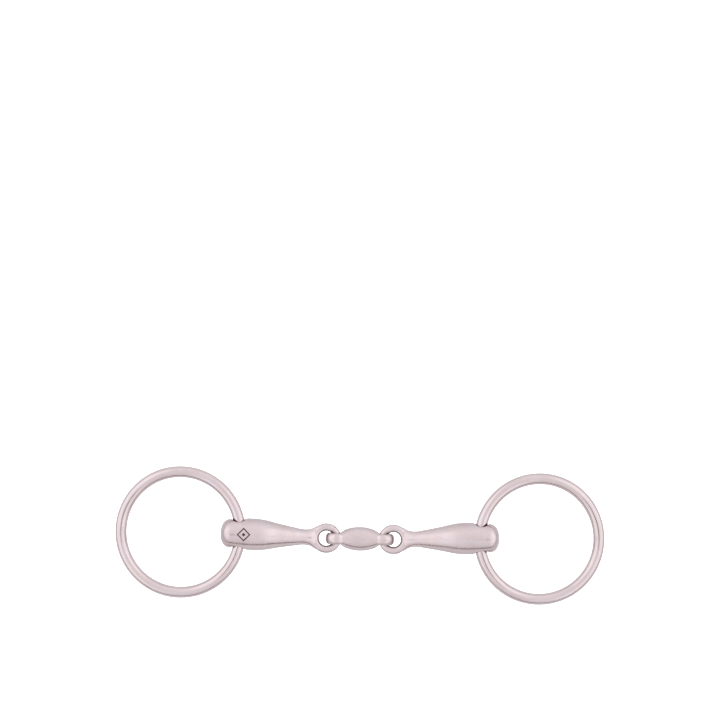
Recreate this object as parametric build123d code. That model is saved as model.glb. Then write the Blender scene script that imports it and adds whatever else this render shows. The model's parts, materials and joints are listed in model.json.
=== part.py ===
from build123d import *

import math
import os

# Loose-ring snaffle bit with a double-jointed mouthpiece, lying flat on a surface. Millimetres, +Z up.
#
# The mouthpiece is two tapered arms, the cannons, that hang in the eyes of a short middle link, the
# lozenge. A closed ring of round wire runs through a hole across the outer end of each cannon. +X runs
# along the mouthpiece, +Y points the way that the cannons bend a little as the bit lies, and the origin
# is on the surface, at the footprint's middle.

# Driving dimensions.
RING_OUTER_D = 70.0
WIRE_D = 6.0
HOLE_D = 8.2  # ring hole through a cannon: the spare room lets the curved wire run through it
HOLE_LIP = 0.7
CANNON_LENGTH = 46.7  # axis of the ring hole to the centre of the eye
CANNON_D = 17.0  # at its thickest
NECK_D = 8.4
END_REACH = 9.4  # axis of the ring hole to the domed outer end
EYE_OUTER_D = 16.0
EYE_WIRE_D = 4.1
LINK_LENGTH = 36.8
LINK_W = 12.8
LINK_T = 10.8
LINK_EYE_D = 12.4
LINK_EYE_W = 6.0  # along the link's holes
LINK_HOLE_D = 5.6
EYE_PLAY = 0.3  # how far each cannon is pushed in from the middle of the link's hole
RING_PLAY = 0.35  # how far each ring is pushed in inside its cannon's hole
REST_BEND_DEG = 2.1  # sideways bend of each cannon at the link, as the bit lies

# Worked out from the driving dimensions.
WIRE_R = WIRE_D / 2
RING_R = RING_OUTER_D / 2 - WIRE_R
CANNON_R = CANNON_D / 2
NECK_R = NECK_D / 2
EYE_WIRE_R = EYE_WIRE_D / 2
EYE_R = EYE_OUTER_D / 2 - EYE_WIRE_R
LINK_EYE_X = (LINK_LENGTH - LINK_EYE_D) / 2
LINK_BAR = (LINK_EYE_D - LINK_HOLE_D) / 2
LINK_EYE_R = LINK_HOLE_D / 2 + LINK_BAR / 2
WIRE_BOW = RING_R - math.sqrt(RING_R**2 - CANNON_R**2)  # how far the wire curves inside its hole
RING_REACH = RING_R - WIRE_BOW / 2 - RING_PLAY  # axis of the ring hole to the ring's centre
EYE_REACH = EYE_R - EYE_PLAY  # centre of the cannon's eye to the axis that the cannon folds about
PIVOT_REACH = CANNON_LENGTH + EYE_REACH

# Outline of a cannon's round end, as (distance from the ring hole towards the eye, radius).
ROUND_END = [
    (-END_REACH, 0.0),
    (-8.95, 3.77),
    (-7.15, 6.6),
    (-3.4, 7.9),
    (2.0, 8.33),
    (7.0, CANNON_R),
]
# From there it tapers to a neck and flattens into its eye, as (distance, half width, half thickness).
TAPER = [
    (7.0, CANNON_R, CANNON_R),
    (8.2, 8.485, 8.485),
    (9.8, 8.42, 8.42),
    (12.0, 8.26, 8.26),
    (17.0, 7.42, 7.42),
    (22.5, 6.25, 6.25),
    (28.0, 5.2, 5.18),
    (32.0, 4.5, 4.42),
    (35.2, NECK_R, 3.82),
    (37.4, 4.4, 3.36),
    (39.4, 5.1, 2.8),
    (40.8, 6.0, 2.2),
    (41.8, 6.25, 1.6),
]
# The link's body, as (distance from its middle, half width, half thickness), narrowing into its eyes.
LINK_BODY = [
    (0.0, LINK_W / 2, LINK_T / 2),
    (3.4, 6.13, 5.42),
    (6.6, 5.34, 5.45),
    (9.6, 4.25, 5.45),
    (12.2, 3.1, 5.35),
]


def smooth_loft(sections):
    """A smooth solid through upright ellipses, given as (place along X, half width, half thickness)."""
    return loft([Plane.YZ.offset(x) * Ellipse(half_w, half_t) for x, half_w, half_t in sections])


def cannon():
    """One arm of the mouthpiece. Origin at the eye's centre, +X to the ring hole, ring hole along Y."""
    curve = Spline(*ROUND_END, tangents=((0, 1), (1, 0)))
    widest_x = ROUND_END[-1][0]
    axis_line = Line((-END_REACH, 0), (widest_x, 0))
    widest_line = Line((widest_x, 0), (widest_x, CANNON_R))
    body = revolve(make_face([curve, axis_line, widest_line]), Axis.X)
    body -= Rot(90, 0, 0) * Cylinder(HOLE_D / 2, 2 * CANNON_D)
    off_axis = body.edges().filter_by(lambda edge: abs(edge.center().Y) > NECK_R)
    lips = off_axis.filter_by(lambda edge: edge.bounding_box().size.Z > HOLE_LIP)
    body = fillet(lips, HOLE_LIP)
    body += smooth_loft(TAPER)
    body += Pos(CANNON_LENGTH, 0, 0) * Torus(EYE_R, EYE_WIRE_R)
    return (Rot(0, 0, 180) * Pos(-CANNON_LENGTH, 0, 0) * body).solid()


def lozenge():
    """The middle link: an olive with an upright eye at each end, holes along Y. Origin at its middle."""
    other_half = [(-x, half_w, half_t) for x, half_w, half_t in reversed(LINK_BODY[1:])]
    body = smooth_loft(other_half + LINK_BODY)
    rough_bore = Rot(90, 0, 0) * Cylinder(LINK_HOLE_D / 2 + LINK_BAR / 4, 2 * LINK_W)
    centre, half_bar, half_w = (LINK_EYE_R, 0), LINK_BAR / 2, LINK_EYE_W / 2
    outer = EllipticalCenterArc(centre, half_bar, half_w, start_angle=-90, arc_size=180)
    inner = EllipticalCenterArc(centre, half_bar, half_w, start_angle=90, arc_size=180)
    eye = revolve(make_face([outer, inner]), Axis.Y)
    ends = [Pos(x, 0, 0) for x in (-LINK_EYE_X, LINK_EYE_X)]
    for end in ends:
        body -= end * rough_bore
    for end in ends:
        body += end * eye
    return body.solid()


def loose_ring():
    """A ring of round wire. Origin on the cannon's hole axis, +X outwards through the ring's centre."""
    return (Pos(RING_REACH, 0, 0) * Torus(RING_R, WIRE_R)).solid()


def rest_slopes():
    """(slope of a cannon, slope of a ring) in degrees, with link, cannons and rings all touching down."""
    link_z = LINK_EYE_D / 2
    outline = ROUND_END + [(x, half_t) for x, _, half_t in TAPER]
    slope = max(math.asin((radius - link_z) / (PIVOT_REACH - x)) for x, radius in outline)
    hole_z = link_z + PIVOT_REACH * math.sin(slope)
    ring_slope = math.asin((hole_z - WIRE_R) / (RING_REACH + RING_R))
    return math.degrees(slope), math.degrees(ring_slope)


def placements():
    """Where each piece lies at rest, as {node: Location}, with the footprint's middle at the origin."""
    slope, ring_slope = rest_slopes()
    bent_y = (PIVOT_REACH - LINK_EYE_R) * math.sin(math.radians(REST_BEND_DEG))
    link = Pos(0, -bent_y, LINK_EYE_D / 2)
    places = {"lozenge": link}
    for side, turn, bend in (("right", 0, REST_BEND_DEG), ("left", 180, -REST_BEND_DEG)):
        pivot = link * Rot(0, 0, turn) * Pos(LINK_EYE_X, 0, 0) * Rot(0, -slope, 0)
        arm = pivot * Pos(LINK_EYE_R, 0, 0) * Rot(0, 0, bend) * Pos(EYE_REACH - LINK_EYE_R, 0, 0)
        hole = (arm * Pos(CANNON_LENGTH, 0, 0)).position
        places[f"{side}_cannon"] = arm
        places[f"{side}_ring"] = Pos(hole) * Rot(0, 0, turn) * Rot(0, ring_slope, 0)
    return places


def main():
    os.makedirs("parts", exist_ok=True)
    arm, ring = cannon(), loose_ring()
    shapes = {
        "lozenge": lozenge(),
        "left_cannon": arm,
        "right_cannon": arm,
        "left_ring": ring,
        "right_ring": ring,
    }
    for node, place in placements().items():
        export_step(place * shapes[node], f"parts/{node}.step")


main()
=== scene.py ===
import json
import math

import bmesh
import bpy
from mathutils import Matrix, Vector

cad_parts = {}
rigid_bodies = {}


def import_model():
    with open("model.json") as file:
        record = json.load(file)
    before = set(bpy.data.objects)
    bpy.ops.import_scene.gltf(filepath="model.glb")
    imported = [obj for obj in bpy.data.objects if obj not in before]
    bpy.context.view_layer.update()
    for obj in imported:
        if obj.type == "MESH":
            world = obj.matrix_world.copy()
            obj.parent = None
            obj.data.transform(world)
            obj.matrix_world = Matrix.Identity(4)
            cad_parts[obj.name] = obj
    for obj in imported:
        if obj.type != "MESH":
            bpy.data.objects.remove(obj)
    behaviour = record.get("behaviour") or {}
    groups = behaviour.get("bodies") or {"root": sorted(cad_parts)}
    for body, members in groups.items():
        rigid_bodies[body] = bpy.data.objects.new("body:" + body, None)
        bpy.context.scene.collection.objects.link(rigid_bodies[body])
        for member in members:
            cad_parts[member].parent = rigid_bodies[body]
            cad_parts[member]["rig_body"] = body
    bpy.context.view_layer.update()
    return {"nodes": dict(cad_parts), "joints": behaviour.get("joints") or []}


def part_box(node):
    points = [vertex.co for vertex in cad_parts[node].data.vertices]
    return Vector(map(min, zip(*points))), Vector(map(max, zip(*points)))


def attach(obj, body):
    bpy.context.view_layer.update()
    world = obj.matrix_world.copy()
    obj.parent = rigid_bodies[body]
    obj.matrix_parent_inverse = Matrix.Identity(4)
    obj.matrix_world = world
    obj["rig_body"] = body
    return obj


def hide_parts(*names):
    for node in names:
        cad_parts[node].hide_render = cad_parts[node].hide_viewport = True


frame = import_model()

NODES = frame["nodes"]
JOINTS = {joint["name"]: joint for joint in frame["joints"]}
SIGN = {"left": -1, "right": 1}
MM = 0.001


# ---------------------------------------------------------------- camera

CAMERA_PLACE = (-0.0018, 0.0932, 1.2)
ROLL_DEG = 1.13
SENSOR_MM = 36.0
LENS_MM = 112.4

camera_data = bpy.data.cameras.new("Camera")
camera_data.sensor_width = SENSOR_MM
camera_data.lens = LENS_MM
camera = bpy.data.objects.new("Camera", camera_data)
bpy.context.scene.collection.objects.link(camera)
camera.location = CAMERA_PLACE
camera.rotation_euler = (0.0, 0.0, math.radians(ROLL_DEG))
bpy.context.scene.camera = camera
bpy.context.scene.view_settings.view_transform = "Standard"


# ---------------------------------------------------------------- node helpers

MIX_FACTOR, MIX_LOW, MIX_HIGH, MIX_RESULT = 0, 6, 7, 2  # sockets of a colour Mix node


class Nodes:
    """Adds and links shader nodes in one tree. Inputs are numbers, colours or other nodes' outputs."""

    def __init__(self, tree):
        self.tree = tree
        tree.nodes.clear()

    def add(self, kind, inputs=None, **settings):
        node = self.tree.nodes.new(kind)
        for name, value in settings.items():
            setattr(node, name, value)
        for name, value in (inputs or {}).items():
            self.put(node.inputs[name], value)
        return node

    def put(self, socket, value):
        if isinstance(value, bpy.types.NodeSocket):
            self.tree.links.new(value, socket)
        else:
            socket.default_value = value

    def math(self, operation, a, b=0.0):
        node = self.add("ShaderNodeMath", operation=operation)
        self.put(node.inputs[0], a)
        self.put(node.inputs[1], b)
        return node.outputs[0]

    def spread(self, value, low, high, to_low=0.0, to_high=1.0, smooth=True):
        """Maps low..high to to_low..to_high, and holds it there outside."""
        node = self.add("ShaderNodeMapRange", interpolation_type="SMOOTHSTEP" if smooth else "LINEAR")
        for socket, number in zip(node.inputs, (value, low, high, to_low, to_high)):
            self.put(socket, number)
        return node.outputs[0]

    def within(self, distance, solid, clear):
        """1 up to one distance, fading to 0 at the other."""
        return self.spread(distance, solid, clear, 1.0, 0.0)

    def ramp(self, value, stops):
        node = self.add("ShaderNodeValToRGB")
        elements = node.color_ramp.elements
        while len(elements) < len(stops):
            elements.new(0.5)
        for element, (place, color) in zip(elements, stops):
            element.position = place
            element.color = color
        self.put(node.inputs[0], value)
        return node.outputs[0]

    def mixed(self, low, high, mask):
        node = self.add("ShaderNodeMix", data_type="RGBA")
        for number, value in ((MIX_FACTOR, mask), (MIX_LOW, low), (MIX_HIGH, high)):
            self.put(node.inputs[number], value)
        return node.outputs[MIX_RESULT]

    def noise(self, vector, scale, detail=3.0, roughness=0.55):
        inputs = {"Vector": vector, "Scale": scale, "Detail": detail, "Roughness": roughness}
        return self.add("ShaderNodeTexNoise", inputs).outputs[0]

    def stretched(self, vector, scale):
        return self.add("ShaderNodeMapping", {"Vector": vector, "Scale": scale}).outputs[0]


def gray(value):
    return (value, value, value, 1.0)


def node_material(name):
    material = bpy.data.materials.new(name)
    material.use_nodes = True
    return material


# ---------------------------------------------------------------- studio light

# Radiance of the surroundings round the X axis, as (degrees from straight up towards -Y, radiance).
SKY = [
    (-180, 0.80),
    (-125, 0.84),
    (-100, 0.98),
    (-65, 1.14),
    (-35, 1.11),
    (-4, 1.04),
    (20, 1.05),
    (45, 0.97),
    (68, 0.88),
    (84, 0.90),
    (95, 0.92),
    (125, 0.78),
    (180, 0.80),
]
SKY_PEAK = 1.4  # radiance that the ramp's white stands for
# The dark gap under the front light, which draws the seam along the steel, in degrees from straight up.
GAP_MIDDLE, GAP_HALF, GAP_EDGE = 75.5, 4.7, 1.2
GAP_COLOR = (0.105, 0.048, 0.048, 1.0)
OVERHEAD_DEG = (50.0, 75.0)  # the overhead light fades out between these
SIDES_DEG = (14.0, 32.0)  # it brightens between these, towards both ends of the bit
SIDES_GAIN = 1.28

world = bpy.data.worlds.new("Studio")
bpy.context.scene.world = world
world.use_nodes = True
sky = Nodes(world.node_tree)
direction = sky.add("ShaderNodeTexCoord").outputs["Generated"]
split = sky.add("ShaderNodeSeparateXYZ", {"Vector": direction})
towards_front = sky.math("MULTIPLY", split.outputs["Y"], -1.0)
round_x = sky.math("DEGREES", sky.math("ARCTAN2", towards_front, split.outputs["Z"]))
sideways = sky.math("DEGREES", sky.math("ABSOLUTE", sky.math("ARCSINE", split.outputs["X"])))
turn = sky.spread(round_x, -180, 180, smooth=False)
radiance = sky.ramp(turn, [((degrees + 180) / 360, gray(value / SKY_PEAK)) for degrees, value in SKY])
overhead = sky.within(sky.math("ABSOLUTE", round_x), *OVERHEAD_DEG)
lift = sky.math("MULTIPLY", overhead, sky.spread(sideways, *SIDES_DEG))
gain = sky.spread(lift, 0.0, 1.0, 1.0, SIDES_GAIN, smooth=False)
lifted = sky.add("ShaderNodeVectorMath", {0: radiance, "Scale": gain}, operation="SCALE").outputs[0]
off_gap = sky.math("ABSOLUTE", sky.math("SUBTRACT", round_x, GAP_MIDDLE))
shaded = sky.mixed(lifted, GAP_COLOR, sky.within(off_gap, GAP_HALF - GAP_EDGE, GAP_HALF + GAP_EDGE))
seen = sky.add("ShaderNodeLightPath").outputs["Is Camera Ray"]
reflected = sky.add("ShaderNodeBackground", {"Color": shaded, "Strength": SKY_PEAK})
plain = sky.add("ShaderNodeBackground", {"Color": gray(1.0), "Strength": 1.0})
mix = sky.add("ShaderNodeMixShader", {"Fac": seen, 1: reflected.outputs[0], 2: plain.outputs[0]})
sky.add("ShaderNodeOutputWorld", {"Surface": mix.outputs[0]})


# ---------------------------------------------------------------- floor and cards

# The floor is low enough for the cannons and rings to fold down above it.
FLOOR_Z = -0.13
FLOOR_REACH = 3.0
FLOOR_LIGHT = {
    "Base Color": gray(0.92),
    "Roughness": 0.9,
    "Specular IOR Level": 0.1,
    "Emission Color": gray(1.0),
    "Emission Strength": 0.7,
}
# A small black card over each ring, which shows only as a thin dark line along its wire.
CARD_X, CARD_Y, CARD_Z = 0.126, -0.030, 0.25
CARD_HALF_X, CARD_HALF_Y = 0.022, 0.018
CARD_CORNERS = 48
HIDDEN_FROM = ("camera", "diffuse", "shadow", "transmission", "volume_scatter")


def flat_piece(name, points, material):
    mesh = bpy.data.meshes.new(name)
    mesh.from_pydata(points, [], [range(len(points))])
    mesh.materials.append(material)
    obj = bpy.data.objects.new(name, mesh)
    bpy.context.scene.collection.objects.link(obj)
    return obj


def floor_material():
    material = node_material("pale_floor")
    tree = Nodes(material.node_tree)
    shader = tree.add("ShaderNodeBsdfPrincipled", FLOOR_LIGHT)
    tree.add("ShaderNodeOutputMaterial", {"Surface": shader.outputs[0]})
    return material


def black_material():
    material = node_material("black_card")
    tree = Nodes(material.node_tree)
    shader = tree.add("ShaderNodeEmission", {"Color": gray(0.0), "Strength": 0.0})
    tree.add("ShaderNodeOutputMaterial", {"Surface": shader.outputs[0]})
    return material


def card_rim(side):
    """Points round an oval card, -1 for the left ring's and 1 for the right ring's."""
    angles = [2 * math.pi * corner / CARD_CORNERS for corner in range(CARD_CORNERS)]
    xs = [side * CARD_X + CARD_HALF_X * math.cos(angle) for angle in angles]
    ys = [CARD_Y + CARD_HALF_Y * math.sin(angle) for angle in angles]
    return [(x, y, CARD_Z) for x, y in zip(xs, ys)]


floor_corners = [(x * FLOOR_REACH, y * FLOOR_REACH, FLOOR_Z) for x, y in ((-1, -1), (1, -1), (1, 1), (-1, 1))]
floor = flat_piece("floor", floor_corners, floor_material())
floor.visible_glossy = False

black = black_material()
for side in SIGN.values():
    card = flat_piece(f"card_{side}", card_rim(side), black)
    for kind in HIDDEN_FROM:
        setattr(card, f"visible_{kind}", False)


# ---------------------------------------------------------------- smooth forgings

WELD_DIST = 0.002 * MM
VOXEL = 0.28 * MM
SMOOTH_FACTOR = 0.5
SMOOTH_ROUNDS = 14


def forged(node):
    """A copy of a CAD node with its creases rounded over, as forging and polishing leave them."""
    source = NODES[node]
    bm = bmesh.new()
    bm.from_mesh(source.data)
    bmesh.ops.remove_doubles(bm, verts=bm.verts, dist=WELD_DIST)
    mesh = bpy.data.meshes.new(f"{node}_forging")
    bm.to_mesh(mesh)
    bm.free()
    obj = bpy.data.objects.new(f"{node}_forging", mesh)
    bpy.context.scene.collection.objects.link(obj)
    remesh = obj.modifiers.new("remesh", "REMESH")
    remesh.mode = "VOXEL"
    remesh.voxel_size = VOXEL
    smooth = obj.modifiers.new("smooth", "SMOOTH")
    smooth.factor = SMOOTH_FACTOR
    smooth.iterations = SMOOTH_ROUNDS
    depsgraph = bpy.context.evaluated_depsgraph_get()
    final = bpy.data.meshes.new_from_object(obj.evaluated_get(depsgraph))
    obj.modifiers.clear()
    obj.data = final
    final.polygons.foreach_set("use_smooth", [True] * len(final.polygons))
    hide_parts(node)
    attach(obj, source["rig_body"])
    return obj


# ---------------------------------------------------------------- steel

# The steel carries the faint pink cast that the bit is pictured with. Bare stainless steel is more neutral.
STEEL_DARK = (0.612, 0.513, 0.535, 1.0)
STEEL_LIGHT = (0.670, 0.567, 0.588, 1.0)
STEEL_BEIGE = (0.622, 0.550, 0.527, 1.0)
STEEL_COOL = (0.625, 0.572, 0.622, 1.0)
SCRATCH = (0.76, 0.71, 0.72, 1.0)
# Painted shade: darkens, dulls and makes less metallic the faces inside the holes and eyes.
HOLE_SHADE = (0.16, 0.10, 0.10, 1.0)
ETCH = (0.075, 0.018, 0.012, 1.0)

# Roughness and strength of the fine relief.
SATIN = (0.215, 0.12)
POLISHED = (0.075, 0.05)
BUMP_DIST = 0.1 * MM

# Noise scales per metre, the long ones across the grain.
CLOUD_SCALE = 110.0
PATCH_SCALE = 35.0
PIT_SCALE = 900.0
TINT_SCALE = (70.0, 300.0, 300.0)
FORGED_GRAIN = (330.0, 2600.0, 2600.0)
WIRE_GRAIN = (200.0, 2400.0, 2400.0)
SCRATCH_SCALE = (260.0, 5200.0, 1200.0)
SCRATCH_TURN = (0.0, 0.0, 0.7)

# Where the marks are. The darkening on the rubbing faces inside the holes and eyes is painted shade, not a
# tarnish known on the bit.
FOLD = {side: Vector(JOINTS[f"{side}_fold"]["pos_m"]) for side in SIGN}
HOLE = {side: Vector(JOINTS[f"{side}_ring_swivel"]["pos_m"]) for side in SIGN}
EYE_FROM_FOLD = 5.65 * MM
EYE = {side: FOLD[side] + Vector((SIGN[side] * EYE_FROM_FOLD, 0, 0)) for side in SIGN}
WIRE_CIRCLE_R = 0.032
WELD_ANGLE = math.radians(53)
MARK_X = HOLE["left"].x + 3.2 * MM
MARK_Y = 0.1 * MM
MARK_HALF = 3.2 * MM


class Steel(Nodes):
    """A steel material: fine brushing, cloudy polish, scratches, then whatever marks are laid over it."""

    def __init__(self, name, roughness, relief):
        self.material = node_material(name)
        super().__init__(self.material.node_tree)
        self.place = self.add("ShaderNodeTexCoord").outputs["Object"]
        self.xyz = self.add("ShaderNodeSeparateXYZ", {"Vector": self.place}).outputs
        self.roughness = roughness
        self.relief = relief

    def from_point(self, point, axes):
        """Distance from a point, or from a line through it, counting only these axes (0, 1, 2)."""
        first, second = [self.math("POWER", self.math("SUBTRACT", self.xyz[a], point[a]), 2.0) for a in axes]
        return self.math("SQRT", self.math("ADD", first, second))

    def round_ring(self, centre):
        """Coordinates that follow a ring's wire: along it, across it, up."""
        x = self.math("SUBTRACT", self.xyz[0], centre[0])
        y = self.math("SUBTRACT", self.xyz[1], centre[1])
        along = self.math("MULTIPLY", self.math("ARCTAN2", y, x), WIRE_CIRCLE_R)
        inputs = {"X": along, "Y": self.from_point(centre, (0, 1)), "Z": self.xyz[2]}
        return self.add("ShaderNodeCombineXYZ", inputs).outputs[0]

    def finish(self, grain_place, grain_scale, marks):
        """marks is a list of (mask, colour, added roughness), laid over the steel in turn."""
        cloud = self.noise(self.place, CLOUD_SCALE, 4.0, 0.6)
        patch = self.noise(self.place, PATCH_SCALE, 2.0, 0.5)
        grain = self.noise(self.stretched(grain_place, grain_scale), 1.0, 4.0, 0.65)
        tint = self.noise(self.stretched(grain_place, TINT_SCALE), 1.0, 3.0, 0.6)
        scratches = self.scratches(grain_place, cloud)

        shade = self.math("ADD", self.math("MULTIPLY", cloud, 0.6), self.math("MULTIPLY", grain, 0.4))
        color = self.mixed(STEEL_DARK, STEEL_LIGHT, self.spread(shade, 0.32, 0.68))
        color = self.mixed(color, STEEL_BEIGE, self.math("MULTIPLY", self.spread(tint, 0.52, 0.68), 0.6))
        color = self.mixed(color, STEEL_COOL, self.math("MULTIPLY", self.spread(tint, 0.48, 0.34), 0.6))
        color = self.mixed(color, SCRATCH, self.math("MULTIPLY", scratches, 0.8))
        rough = self.spread(patch, 0.3, 0.7, self.roughness * 0.78, self.roughness * 1.22)
        rough = self.math("ADD", rough, self.spread(grain, 0.3, 0.7, -0.018, 0.018))
        rough = self.math("ADD", rough, self.math("MULTIPLY", scratches, 0.10))
        ridges = self.math("MULTIPLY", grain, 0.35)
        height = self.math("SUBTRACT", ridges, self.math("MULTIPLY", scratches, 0.6))
        metal = 1.0
        for mask, paint, dull in marks:
            color = self.mixed(color, paint, mask)
            rough = self.math("ADD", rough, self.math("MULTIPLY", mask, dull))
            height = self.math("SUBTRACT", height, mask)
            metal = self.math("MULTIPLY", metal, self.math("SUBTRACT", 1.0, self.math("MULTIPLY", mask, 0.6)))

        bump = self.add("ShaderNodeBump", {"Height": height, "Strength": self.relief, "Distance": BUMP_DIST})
        inputs = {"Base Color": color, "Metallic": metal, "Roughness": rough, "Normal": bump.outputs[0]}
        shader = self.add("ShaderNodeBsdfPrincipled", inputs)
        self.add("ShaderNodeOutputMaterial", {"Surface": shader.outputs[0]})
        return self.material

    def scratches(self, grain_place, cloud):
        """Fine slanting scratches, in patches."""
        inputs = {"Vector": grain_place, "Rotation": SCRATCH_TURN}
        turned = self.add("ShaderNodeMapping", inputs).outputs[0]
        strokes = self.noise(self.stretched(turned, SCRATCH_SCALE), 1.0, 2.0, 0.5)
        return self.math("MULTIPLY", self.spread(strokes, 0.63, 0.71), self.spread(cloud, 0.42, 0.58))


def etched_diamond(steel):
    """A plain etched diamond with a dot in it, on top of the cannon beside the ring hole."""
    across = steel.math("ABSOLUTE", steel.math("SUBTRACT", steel.xyz[0], MARK_X))
    along = steel.math("ABSOLUTE", steel.math("SUBTRACT", steel.xyz[1], MARK_Y))
    size = steel.math("ADD", across, along)
    off_line = steel.math("ABSOLUTE", steel.math("SUBTRACT", size, MARK_HALF))
    line = steel.within(off_line, 0.36 * MM, 0.52 * MM)
    dot = steel.within(size, 0.9 * MM, 1.1 * MM)
    top = steel.spread(steel.xyz[2], HOLE["left"].z, HOLE["left"].z + 2 * MM)
    return steel.math("MULTIPLY", steel.math("MAXIMUM", line, dot), top)


def weld_pits(steel, eye):
    """Small pits along the weld that closes an eye."""
    x = steel.math("SUBTRACT", steel.xyz[0], eye.x)
    y = steel.math("SUBTRACT", steel.xyz[1], eye.y)
    across_x = steel.math("MULTIPLY", x, math.sin(WELD_ANGLE))
    across_y = steel.math("MULTIPLY", y, math.cos(WELD_ANGLE))
    off_line = steel.math("ABSOLUTE", steel.math("SUBTRACT", across_x, across_y))
    line = steel.within(off_line, 0.2 * MM, 0.5 * MM)
    outer = steel.spread(steel.math("ADD", x, y), 3.0 * MM, 4.5 * MM)
    pits = steel.spread(steel.noise(steel.place, PIT_SCALE, 2.0), 0.52, 0.60)
    return steel.math("MULTIPLY", steel.math("MULTIPLY", line, outer), pits)


def cannon_steel(side):
    steel = Steel(f"satin_steel_{side}", *SATIN)
    # The bore and eye rim masks paint shade inside the ring hole and the eye.
    bore = steel.within(steel.from_point(HOLE[side], (0, 2)), 4.15 * MM, 4.5 * MM)
    eye_rim = steel.within(steel.from_point(EYE[side], (0, 1)), 4.3 * MM, 4.95 * MM)
    marks = [(bore, HOLE_SHADE, 0.25), (steel.math("MULTIPLY", eye_rim, 0.75), HOLE_SHADE, 0.15)]
    if side == "left":
        marks.append((etched_diamond(steel), ETCH, 0.4))
        marks.append((weld_pits(steel, EYE[side]), ETCH, 0.3))
    return steel.finish(steel.place, FORGED_GRAIN, marks)


def link_steel():
    steel = Steel("satin_steel_link", *SATIN)
    marks = []
    for pivot in FOLD.values():
        # Painted shade inside each pivot hole of the link.
        bore = steel.within(steel.from_point(pivot, (0, 2)), 2.9 * MM, 3.4 * MM)
        marks.append((steel.math("MULTIPLY", bore, 0.8), HOLE_SHADE, 0.2))
    return steel.finish(steel.place, FORGED_GRAIN, marks)


def ring_steel(side):
    low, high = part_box(f"{side}_ring")
    centre = (low + high) / 2
    steel = Steel(f"polished_steel_{side}", *POLISHED)
    return steel.finish(steel.round_ring(centre), WIRE_GRAIN, [])


# ---------------------------------------------------------------- the five pieces

def dress(obj, material):
    obj.data.materials.clear()
    obj.data.materials.append(material)


for side in SIGN:
    dress(forged(f"{side}_cannon"), cannon_steel(side))
dress(forged("lozenge"), link_steel())
for side in SIGN:
    dress(NODES[f"{side}_ring"], ring_steel(side))
